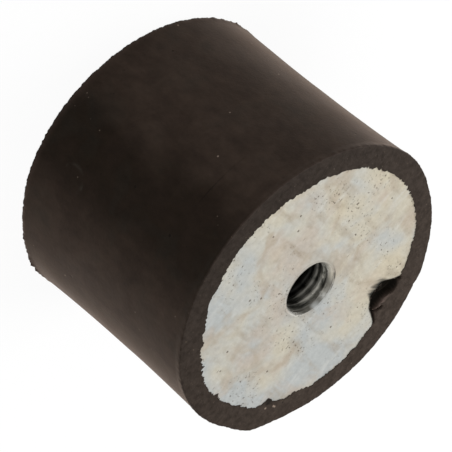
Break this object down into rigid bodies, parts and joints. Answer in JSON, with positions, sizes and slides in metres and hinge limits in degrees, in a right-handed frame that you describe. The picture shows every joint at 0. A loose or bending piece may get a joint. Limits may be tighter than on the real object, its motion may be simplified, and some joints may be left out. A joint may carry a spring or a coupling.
{
  "type": "bobbin vibration mount",
  "caption": "Round rubber vibration mount with a slightly waisted side, a flush steel plate in each end and a blind threaded hole in the middle of each plate.",
  "frame": {"origin": "middle of the lower end face, on which the mount stands", "axes": "+Z along the mount's axis, up through the end with the gate notch; +X and +Y across it"},
  "size_m": [0.065, 0.065, 0.05],
  "materials": {
    "black_rubber": "matte",
    "zinc_plate": "dull zinc plating, mottled",
    "turned_steel": "turned and tapped, lightly plated"
  },
  "bodies": {
    "root": {"rubber_body": "black_rubber", "upper_plate": "zinc_plate", "lower_plate": "zinc_plate", "upper_bush": "turned_steel", "lower_bush": "turned_steel"}
  },
  "joints": []
}
